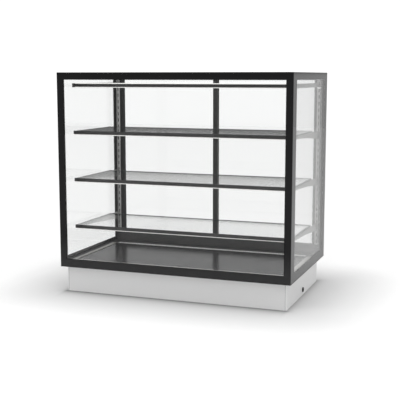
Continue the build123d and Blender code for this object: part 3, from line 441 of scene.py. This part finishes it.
# A flat sheet cut into cells by lines on X and Y. solid says which of the cells are there. A wall
# stands wherever a cell that is there meets one that isn't.
def piercedSheet(linesX, linesY, low, high, solid):
    gridX, gridY = np.meshgrid(linesX, linesY, indexing="ij")
    points = np.stack([np.stack([gridX, gridY, np.full_like(gridX, z)], -1) for z in (low, high)])
    index = np.arange(2 * gridX.size).reshape(2, *gridX.shape)
    column, row = np.nonzero(solid)
    quads = [[layer[column, row], layer[column + 1, row], layer[column + 1, row + 1], layer[column, row + 1]]
             for layer in index]
    rimmed = np.pad(solid, 1)
    for over, up in ((0, 1), (1, 0)):
        reach = np.s_[:len(linesX) - over, :len(linesY) - up]
        column, row = np.nonzero(rimmed[over:, up:][reach] != rimmed[1:, 1:][reach])
        quads.append([index[0, column, row], index[0, column + over, row + up],
                      index[1, column + over, row + up], index[1, column, row]])
    return points, np.concatenate([np.stack(quad, -1) for quad in quads]).tolist()


# The four corners of an upright or flat rectangle, as a profile for straightRun.
def boxProfile(low, high, foot, top):
    return np.array([(low, foot), (high, foot), (high, top), (low, top)])


def halfRound(radius, count=7):
    turn = np.linspace(0, math.pi, count)
    return np.stack([radius * np.cos(turn), radius * np.sin(turn)], -1)


# The floor is painted with shade: it is seen a little darker close to the tank, has less emission lift there,
# and has a thin painted contact shadow along its foot.
# In mirrors and as light it is plain, and dimmer in front of the case.
floorMesh = bpy.data.meshes.new("floor")
half = floorLook["half"]
corners = [(-half, -half, 0), (half, -half, 0), (half, half, 0), (-half, half, 0)]
floorMesh.from_pydata(corners, [], [(0, 1, 2, 3)])
floorObject = bpy.data.objects.new("floor", floorMesh)
bpy.context.scene.collection.objects.link(floorObject)
floorMaterial, tree, surface, place = startMaterial("floorWhite")
surface.inputs["Roughness"].default_value = 0.9
surface.inputs["Specular IOR Level"].default_value = 0.0
surface.inputs["Emission Color"].default_value = (1, 1, 1, 1)
path = addNode(tree, "ShaderNodeLightPath")
seen = calc(tree, "MAXIMUM", path.outputs["Is Camera Ray"], path.outputs["Is Transmission Ray"])
split = addNode(tree, "ShaderNodeSeparateXYZ", {0: place})
footLow, footHigh = lowHigh("tank_casing")
across = calc(tree, "SUBTRACT", calc(tree, "ABSOLUTE", split.outputs[0]), footHigh[0])
across = calc(tree, "MAXIMUM", across, 0.0)
inFront = calc(tree, "SUBTRACT", footLow[1], split.outputs[1])
behind = calc(tree, "SUBTRACT", split.outputs[1], footHigh[1])
along = calc(tree, "MAXIMUM", calc(tree, "MAXIMUM", inFront, behind), 0.0)
away = calc(tree, "ADD", calc(tree, "POWER", across, 2.0), calc(tree, "POWER", along, 2.0))
away = calc(tree, "SQRT", away)
reach = addNode(tree, "ShaderNodeMapRange", {0: away, 1: 0.0, 2: floorLook["clear"]}).outputs[0]
dimFrom, dimTo = floorLook["dimFrom"]
rear = addNode(tree, "ShaderNodeMapRange", {0: split.outputs[1], 1: dimFrom, 2: dimTo})
mirrored = spread(tree, rear.outputs[0], *floorLook["mirrored"])
plain = calc(tree, "SUBTRACT", mirrored, floorLook["plain"])
plain = calc(tree, "ADD", calc(tree, "MULTIPLY", path.outputs["Is Glossy Ray"], plain), floorLook["plain"])
# Painted contact shadow: a thin dark band along the tank's foot, strongest in front of it.
ahead = addNode(tree, "ShaderNodeMapRange", {0: inFront, 1: 0.0, 2: floorLook["shadeLineDeep"]}).outputs[0]
beside = addNode(tree, "ShaderNodeMapRange", {0: across, 1: floorLook["shadeLineSide"], 2: 0.0}).outputs[0]
ahead = calc(tree, "MULTIPLY", ahead, beside)
depth = calc(tree, "DIVIDE", away, spread(tree, ahead, *floorLook["contactShadeReach"]))
paintedContactShade = calc(tree, "EXPONENT", calc(tree, "MULTIPLY", depth, -1.0))
paintedContactShade = calc(tree, "MULTIPLY", paintedContactShade, spread(tree, ahead, *floorLook["contactShade"]))
paintedContactShade = calc(tree, "SUBTRACT", 1.0, paintedContactShade)
# Painted shade: the floor colour seen by the camera darkens towards the tank.
paintedShadeFloor = calc(tree, "MULTIPLY", spread(tree, reach, *floorLook["seen"]), paintedContactShade)
tone = calc(tree, "MULTIPLY", seen, calc(tree, "SUBTRACT", paintedShadeFloor, plain))
tree.links.new(calc(tree, "ADD", tone, plain), surface.inputs["Base Color"])
near, distant = floorLook["farFrom"]
far = addNode(tree, "ShaderNodeMapRange", {0: away, 1: near, 2: distant, 4: floorLook["farLift"]}).outputs[0]
lift = calc(tree, "ADD", spread(tree, reach, *floorLook["lift"]), far)
tree.links.new(calc(tree, "MULTIPLY", seen, lift), surface.inputs["Emission Strength"])
floorMesh.materials.append(floorMaterial)

# The world is white to the eye. As light it is softer. In mirrors it has a dark band above the horizon,
# a bright panel stands behind the right end, and the room behind the camera is dim.
world = bpy.data.worlds.new("world")
bpy.context.scene.world = world
world.use_nodes = True
tree = world.node_tree
path = addNode(tree, "ShaderNodeLightPath")
seen = calc(tree, "MAXIMUM", path.outputs["Is Camera Ray"], path.outputs["Is Transmission Ray"])
glossy = path.outputs["Is Glossy Ray"]
aim = addNode(tree, "ShaderNodeSeparateXYZ", {0: addNode(tree, "ShaderNodeTexCoord").outputs["Generated"]})
band = addNode(tree, "ShaderNodeValToRGB", {0: aim.outputs[2]}).color_ramp
while len(band.elements) < len(light["horizon"]):
    band.elements.new(0.5)
for stop, (height, strength) in zip(band.elements, light["horizon"]):
    stop.position, stop.color = height, (strength, strength, strength, 1)
dimFrom, dimTo = light["dimFrom"]
toRear = addNode(tree, "ShaderNodeMapRange", {0: aim.outputs[1], 1: dimFrom, 2: dimTo, 3: light["dim"], 4: 1.0})
low, high = light["panel"]
fromMiddle = calc(tree, "ABSOLUTE", calc(tree, "SUBTRACT", aim.outputs[0], (low + high) / 2))
half, soft = (high - low) / 2, light["panelSoft"]
inPanel = calc(tree, "GREATER_THAN", aim.outputs[2], 0.0)
for value, ends in ((fromMiddle, (half + soft, half - soft)), (aim.outputs[2], light["panelTop"]),
                    (aim.outputs[1], light["panelRear"])):
    inside = addNode(tree, "ShaderNodeMapRange", {0: value, 1: ends[0], 2: ends[1]}).outputs[0]
    inPanel = calc(tree, "MULTIPLY", inPanel, inside)
overBand = calc(tree, "SUBTRACT", light["panelGlow"], tree.nodes["Color Ramp"].outputs[0])
mirrored = calc(tree, "ADD", tree.nodes["Color Ramp"].outputs[0], calc(tree, "MULTIPLY", inPanel, overBand))
mirrored = calc(tree, "MULTIPLY", mirrored, toRear.outputs[0])
base = calc(tree, "MULTIPLY", glossy, calc(tree, "SUBTRACT", mirrored, light["sky"]))
base = calc(tree, "ADD", light["sky"], base)
level = calc(tree, "ADD", base, calc(tree, "MULTIPLY", seen, calc(tree, "SUBTRACT", light["seen"], base)))
tree.nodes["Background"].inputs["Color"].default_value = (1, 1, 1, 1)
tree.links.new(level, tree.nodes["Background"].inputs["Strength"])


# Doors: rubber gaskets round the glass, finger pulls, and a brush strip between the two stiles.
doorLook = {"gasket": 0.0016, "bend": 0.002, "inset": 0.0074, "pileWidth": 0.005, "pileGap": 0.0012,
            "pileEdge": 0.008, "pileEnds": 0.01, "pileTip": 0.8, "pullFromEdge": 0.015,
            "pullHeight": 0.628, "pullHalf": (0.0082, 0.0594), "pullDepth": 0.0048,
            "pullWall": 0.0008, "pullLip": 0.0022, "lipThick": 0.0007, "lipSeat": 0.0001}
gasketRubber = moulded("gasketRubber", (0.01, 0.01, 0.01), rough=0.7)
pileBlack = moulded("pileFibre", (0.02, 0.02, 0.02), rough=0.95, texture=0.8, scale=3000)
pullSteel = coatedMetal("pullSatin", (0.12, 0.12, 0.12), rough=0.3, metallic=0.8)

for side in ("left", "right"):
    frameLow, frameHigh = lowHigh("door_frame_" + side)
    glassLow, glassHigh = lowHigh("door_glass_" + side)
    inset = doorLook["inset"]
    x0, x1 = glassLow[0] + inset, glassHigh[0] - inset
    z0, z1 = glassLow[2] + inset, glassHigh[2] - inset
    body = side + "_door"
    bead = halfRound(doorLook["gasket"])
    rings = []
    for y, facing in ((glassLow[1], -1), (glassHigh[1], 1)):
        rings.append(ringRun(x0, x1, z0, z1, y, doorLook["bend"], bead * np.array([1, facing])))
    makePiece("gasket_" + side, *joined(rings), gasketRubber, body, slot="stop_rubber")
    fromEdge = doorLook["pullFromEdge"]
    pullX = frameLow[0] + fromEdge if side == "left" else frameHigh[0] - fromEdge
    wide, tall = doorLook["pullHalf"]
    wall, lip, thick = doorLook["pullWall"], doorLook["pullLip"], doorLook["lipThick"]
    sides = (pullX - wide, pullX + wide, doorLook["pullHeight"] - tall, doorLook["pullHeight"] + tall)
    deep, seat = -doorLook["pullDepth"], doorLook["lipSeat"]
    rim = [(0, deep), (0, seat), (lip, seat), (lip - thick / 2, thick), (-wall, thick), (-wall, deep)]
    cup = ringRun(*sides, frameHigh[1], wide, rim)
    edge = ringRun(*sides, frameHigh[1], wide, [(0, deep), (0, deep + wall)])[0]
    base = (edge.transpose(1, 0, 2), tubeFaces(2, len(edge), False))
    makePiece("pull_" + side, *joined([cup, base]), pullSteel, body)

leftLow, leftHigh = lowHigh("door_frame_left")
pileX, pileFoot = leftHigh[0] - doorLook["pileEdge"], leftHigh[1]
pileEnd = lowHigh("door_frame_right")[0][1] - doorLook["pileGap"]
wide = doorLook["pileWidth"] / 2
slim = wide * doorLook["pileTip"]
pileProfile = np.array([(pileX - wide, pileFoot), (pileX + wide, pileFoot), (pileX + slim, pileEnd),
                        (pileX - slim, pileEnd)])
pile = straightRun(2, leftLow[2] + doorLook["pileEnds"], leftHigh[2] - doorLook["pileEnds"], pileProfile)
makePiece("pile_strip", *pile, pileBlack, "left_door", slot="stop_rubber")
print("doors dressed")


# Glass joints: black silicone in the grooves between the panes' ground edges, just below the surface.
jointLook = {"groove": 0.0006, "skin": 0.0001}
silicone = moulded("blackSilicone", (0.01, 0.01, 0.01), rough=0.35, texture=0.05)
frontLow, frontHigh = lowHigh("front_glass")
sideLow, sideHigh = lowHigh("side_glass_right")


# A bead of triangular section just under an outer edge, with its point inwards.
def grooveBead(axis, low, high, outer, level, inward):
    groove = jointLook["groove"]
    skin, deep = outer + inward * jointLook["skin"], outer + inward * groove
    profile = [(skin, level - groove), (skin, level + groove), (deep, level)]
    return straightRun(axis, low, high, np.array(profile))


meet = (frontHigh[1] + sideLow[1]) / 2
beads = []
for z in (frontLow[2], frontHigh[2]):
    beads.append(grooveBead(0, frontLow[0], frontHigh[0], frontLow[1], z, 1))
    for x, inward in ((sideHigh[0], -1), (-sideHigh[0], 1)):
        beads.append(grooveBead(1, frontLow[1], sideHigh[1], x, z, inward))
for x, inward in ((sideHigh[0], -1), (-sideHigh[0], 1)):
    beads.append(grooveBead(2, frontLow[2], frontHigh[2], x, meet, inward))
makePiece("silicone_joints", *joined(beads), silicone, "case")


# Shelves: tape on the brackets' flanges, end plates on the rails, and a thin angle along the rear edge.
shelfLook = {"bracket": 0.003, "flange": 0.018, "tapeInset": 0.002, "tape": 0.00026, "plate": 0.0012,
             "cut": 0.0015, "rebate": 0.007, "strip": 0.0008, "stripLap": 0.005}
tapeGrey = moulded("tapeGrey", (0.25, 0.25, 0.25), rough=0.7)
plateBlack = moulded("endPlateBlack", (0.012, 0.012, 0.012), rough=0.4)
tapes, plates, strips = [], [], []
for level in ("lower", "middle", "upper"):
    bracketLow, bracketHigh = lowHigh("shelf_brackets_" + level)
    paneLow, paneHigh = lowHigh("shelf_glass_" + level)
    railLow, railHigh = lowHigh("shelf_rail_" + level)
    inset = shelfLook["tapeInset"]
    x1 = bracketHigh[0] - shelfLook["bracket"] - inset
    x0 = bracketHigh[0] - shelfLook["bracket"] - shelfLook["flange"] + inset
    top, foot = paneLow[2], paneLow[2] - shelfLook["tape"]
    for lowX, highX in ((x0, x1), (-x1, -x0)):
        tapes.append(straightRun(1, bracketLow[1] + inset, paneHigh[1], boxProfile(lowX, highX, foot, top)))
    y0, y1, z0, z1, cut = railLow[1], railHigh[1], railLow[2], railHigh[2], shelfLook["cut"]
    back = z1 - cut - shelfLook["rebate"]
    shape = np.array([(y0, z0 + cut), (y0 + cut, z0), (y1 - cut, z0), (y1, z0 + cut), (y1, back),
                      (y0 + cut, z1), (y0, z1 - cut)])
    for end, way in ((railHigh[0], 1), (railLow[0], -1)):
        plates.append(straightRun(0, *sorted((end, end + way * shelfLook["plate"])), shape))
    rear, thick, lap = paneHigh[1], shelfLook["strip"], shelfLook["stripLap"]
    z0, z1 = paneLow[2], paneHigh[2]
    angle = np.array([(rear - lap, z1), (rear, z1), (rear, z0), (rear + thick, z0), (rear + thick, z1 + thick),
                      (rear - lap, z1 + thick)])
    strips.append(straightRun(0, paneLow[0], paneHigh[0], angle))
makePiece("shelf_tape", *joined(tapes), tapeGrey, "case")
makePiece("shelf_rear_strips", *joined(strips), plateBlack, "case")
makePiece("rail_end_plates", *joined(plates), plateBlack, "case")
print("shelves and glass dressed")


# Rear controls: smoked display pane, key marks, rocker lenses and screw flanges.
controlLook = {"display": (0.0356, 0.0176), "displayX": -0.008, "displayDeep": 0.001,
               "displaySkin": 0.0002, "displayCut": 0.0012, "mark": 0.0012, "markRise": 0.00015,
               "markSunk": 0.00005}
smoked = coatedMetal("smokedAcrylic", (0.02, 0.004, 0.004), rough=0.08, peel=0.01, coat=0.5)
markGrey = moulded("markGrey", (0.55, 0.55, 0.55), rough=0.5)
controlLow, controlHigh = lowHigh("controller")
controlX, controlZ = (controlLow[0] + controlHigh[0]) / 2, (controlLow[2] + controlHigh[2]) / 2
wide, tall = (side / 2 for side in controlLook["display"])
cut, faceY = controlLook["displayCut"], controlHigh[1]
screen = np.array([(cut - wide, -tall), (wide - cut, -tall), (wide, cut - tall), (wide, tall - cut),
                   (wide - cut, tall), (cut - wide, tall), (-wide, tall - cut), (-wide, cut - tall)])
screen = screen + np.array([controlX + controlLook["displayX"], controlZ])
pane = straightRun(1, faceY - controlLook["displayDeep"], faceY - controlLook["displaySkin"], screen)
makePiece("display_pane", *pane, smoked, "case")
for name, corners in (("up", 3), ("set", 12), ("down", 3)):
    keyLow, keyHigh = lowHigh("key_" + name)
    start = -math.pi / 2 if name == "down" else math.pi / 2
    turn = np.linspace(0, 2 * math.pi, corners, endpoint=False) + start
    mark = controlLook["mark"] * np.stack([np.cos(turn), np.sin(turn)], -1)
    mark = mark + np.array([(keyLow[0] + keyHigh[0]) / 2, (keyLow[2] + keyHigh[2]) / 2])
    mark = straightRun(1, keyHigh[1] - controlLook["markSunk"], keyHigh[1] + controlLook["markRise"], mark)
    makePiece("mark_" + name, *mark, markGrey, "key_" + name)

# A rocker's face falls in two slopes to the pivot's line, and at rest the rocker is tilted to off. Its
# lens is built flat, tipped to the slope, moved up the slope, and tipped with the rocker.
rockerLook = {"pivot": 0.002, "tilt": 10.0, "face": 0.003, "dish": 0.002, "half": 0.0116, "up": 0.0065,
              "lens": [(0.0016, -0.0003), (0.0016, 0.0002), (0.0012, 0.0005), (0.0005, 0.00065)]}
lensColours = {"power": (0.05, 0.5, 0.1), "light": (0.7, 0.35, 0.03)}
panelHigh = lowHigh("control_panel")[1]


# Points turned about X: y' = y cos a + z sin a, z' = z cos a - y sin a.
def tipped(points, angle):
    y, z = points[:, 1], points[:, 2]
    return np.stack([points[:, 0], y * math.cos(angle) + z * math.sin(angle),
                     z * math.cos(angle) - y * math.sin(angle)], -1)


for name, colour in lensColours.items():
    rockerLow, rockerHigh = lowHigh("rocker_" + name)
    points, faces = roundForm(1, (0, 0, 0), rockerLook["lens"], 16)
    dish, half, rise = rockerLook["dish"], rockerLook["half"], rockerLook["up"]
    points = tipped(points.reshape(-1, 3), math.atan2(dish, half))
    points = points + np.array([0, rockerLook["face"] + rise * dish / half, rise])
    points = tipped(points, math.radians(rockerLook["tilt"]))
    points[:, 0] += (rockerLow[0] + rockerHigh[0]) / 2
    points[:, 1:] += panelHigh[1] - rockerLook["pivot"], controlZ
    lens = moulded("lens" + name.title(), colour, rough=0.15, texture=0.02)
    makePiece("lens_" + name, points, faces, lens, "rocker_" + name)

screwLook = {"inner": 0.19, "head": 0.0045, "flange": [(0.0058, 0), (0.0058, 0.0004), (0.0046, 0.0009)]}
screwZinc = finishes["panel_screws"]
outerScrew = lowHigh("panel_screws")[1][0] - screwLook["head"]
flanges = [roundForm(1, (x, panelHigh[1], controlZ), screwLook["flange"])
           for x in (-outerScrew, -screwLook["inner"], screwLook["inner"], outerScrew)]
makePiece("screw_flanges", *joined(flanges), screwZinc, "case")
print("controls dressed")


# Tank, outside: the lip of the cable bush, and thin dark strips of painted shade at the seams of the front
# corners.
# tankLook also serves the pieces inside it, further down.
tankLook = {"lip": [(0.0072, 0), (0.0078, 0.0009), (0.0086, 0.0012), (0.0094, 0.0009), (0.01, 0)],
            "seamIn": 0.0075, "seam": (0.0009, 0.00012), "seamEnds": 0.001, "element": 0.004,
            "bead": [(0.0062, -0.012), (0.0062, -0.005), (0.005, -0.0035), (0.0022, -0.0035), (0.0022, 0.006)],
            "fanHalf": 0.060, "fanScrew": 0.052, "lidInset": 0.009,
            "screw": [(0.0034, 0), (0.0034, -0.0008), (0.0022, -0.0018), (0.0008, -0.002)],
            "glandUp": 0.42, "glandIn": (0.002, 0.03),
            "gland": [(0.011, 0), (0.011, 0.006), (0.009, 0.007), (0.009, 0.014), (0.006, 0.018)]}
grommetRubber = finishes["cable_grommet"]
bushLow, bushHigh = lowHigh("cable_grommet")
bushPlace = (bushHigh[0], (bushLow[1] + bushHigh[1]) / 2, (bushLow[2] + bushHigh[2]) / 2)
bushLip = roundRing(0, bushPlace, tankLook["lip"])
makePiece("bush_lip", *bushLip, grommetRubber, "case", slot="grommet_rubber")

casingLow, casingHigh = lowHigh("tank_casing")
wide, thick = tankLook["seam"]
# Painted shade: a thin dark strip stands for the shade along each front corner's bend.
seamPaintedShade = moulded("seamShade", (0.05, 0.05, 0.05), rough=0.8)
seams = []
z0, z1 = casingLow[2] + tankLook["seamEnds"], casingHigh[2] - tankLook["seamEnds"]
y0, y1 = casingLow[1] - thick, casingLow[1] + thick
for x in (casingLow[0] + tankLook["seamIn"], casingHigh[0] - tankLook["seamIn"]):
    seams.append(straightRun(2, z0, z1, boxProfile(x - wide / 2, x + wide / 2, y0, y1)))
makePiece("tank_seam_shade", *joined(seams), seamPaintedShade, "case")

# Deck: a thin pierced strip of steel lies on the air grille, with its front row of slots over the grille's own.
# Its colour is raised near white as a painted highlight for the slots' sparkle. It starts a little behind the
# deck plate and ends short of the plate's ends.
stripLook = {"behindPlate": 0.012, "inset": 0.0043, "rows": 2, "rowPitch": 0.010, "pitch": 0.012,
             "slotDeep": 0.006, "slotWide": 0.005, "thick": 0.0004}
stripSteelPaintedHighlight = brushedMetal("stripSteelPaintedHighlight", (0.93, 0.93, 0.91), rough=0.4, stretch=(900, 900, 900), drift=0.2,
                          metallic=0.3)
plateHigh, stripFoot = lowHigh("deck_plate")[1], lowHigh("air_grille")[1][2]
stripY = plateHigh[1] + stripLook["behindPlate"]
stripHalf = plateHigh[0] - stripLook["inset"]
slotCount = int((2 * stripHalf - stripLook["pitch"]) // stripLook["pitch"])
slotX = (np.arange(slotCount) - (slotCount - 1) / 2) * stripLook["pitch"]
slotY = stripY + (np.arange(stripLook["rows"]) + 0.5) * stripLook["rowPitch"]
halfWide, halfDeep = stripLook["slotWide"] / 2, stripLook["slotDeep"] / 2
border = stripLook["rowPitch"] - stripLook["slotDeep"]
slotX = np.stack([slotX - halfWide, slotX + halfWide], -1).ravel()
slotY = np.stack([slotY - halfDeep, slotY + halfDeep], -1).ravel()
linesX = np.concatenate([[-stripHalf], slotX, [stripHalf]])
linesY = np.concatenate([[slotY[0] - border], slotY, [slotY[-1] + border]])
solid = np.ones((len(linesX) - 1, len(linesY) - 1), bool)
solid[1::2, 1::2] = False
strip = piercedSheet(linesX, linesY, stripFoot, stripFoot + stripLook["thick"], solid)
makePiece("slot_strip", *strip, stripSteelPaintedHighlight, "case")

# Lamp: a milky clip on each pilaster, just below the arm's foot, carries a painted glow that stands for the
# lamp's light caught there.
clipLook = {"half": 0.008, "inFront": (0.0042, 0.0001), "below": (0.0082, 0.0004)}
clipPaintedGlow = litAcrylic("clipPaintedGlow", (0.9, 0.9, 0.88), 0.55)
y0, y1 = (pilasterLow[1] - far for far in clipLook["inFront"])
z0, z1 = (lowHigh("lamp_arm_right")[0][2] - far for far in clipLook["below"])
half = clipLook["half"]
clips = [straightRun(0, x - half, x + half, boxProfile(y0, y1, z0, z1))
         for x in (-pilasterMiddle, pilasterMiddle)]
makePiece("arm_clips_painted_glow", *joined(clips), clipPaintedGlow, "case")

# Tank, inside: ceramic beads at the ends of the heating elements, the fans' screws, and the lid screws
# and cable glands of the terminal box.
ceramic = moulded("ceramic", (0.75, 0.72, 0.66), rough=0.5)
elementLow, elementHigh = lowHigh("heater_elements")
elementY, radius = (elementLow[1] + elementHigh[1]) / 2, tankLook["element"]
terminals = []
for x, way in ((elementHigh[0], 1), (elementLow[0], -1)):
    bead = np.array(tankLook["bead"]) * np.array([1, way])
    for z in (elementLow[2] + radius, elementHigh[2] - radius):
        terminals.append(roundForm(0, (x, elementY, z), bead, 20))
makePiece("heater_terminals", *joined(terminals), ceramic, "case")

fanLow, fanHigh = lowHigh("fan_frames")
boxLow, boxHigh = lowHigh("terminal_box")
fittings = []
middle, apart = (fanLow[2] + fanHigh[2]) / 2, tankLook["fanScrew"]
for x in (fanLow[0] + tankLook["fanHalf"], fanHigh[0] - tankLook["fanHalf"]):
    for across in (-apart, apart):
        for up in (-apart, apart):
            fittings.append(roundForm(1, (x + across, fanLow[1], middle + up), tankLook["screw"], 16))
inset, lidScrew = tankLook["lidInset"], np.array(tankLook["screw"]) * np.array([1, -1])
for x in (boxLow[0] + inset, boxHigh[0] - inset):
    for y in (boxLow[1] + inset, boxHigh[1] - inset):
        fittings.append(roundForm(2, (x, y, boxHigh[2]), lidScrew, 16))
makePiece("tank_screws", *joined(fittings), screwZinc, "case")
sunk, fromEnd = tankLook["glandIn"]
glandX, glandZ = boxHigh[0] - sunk, boxLow[2] + (boxHigh[2] - boxLow[2]) * tankLook["glandUp"]
glands = [roundForm(0, (glandX, y, glandZ), tankLook["gland"], 12)
          for y in (boxLow[1] + fromEnd, boxHigh[1] - fromEnd)]
makePiece("cable_glands", *joined(glands), grommetRubber, "case", slot="grommet_rubber")
print("tank dressed")
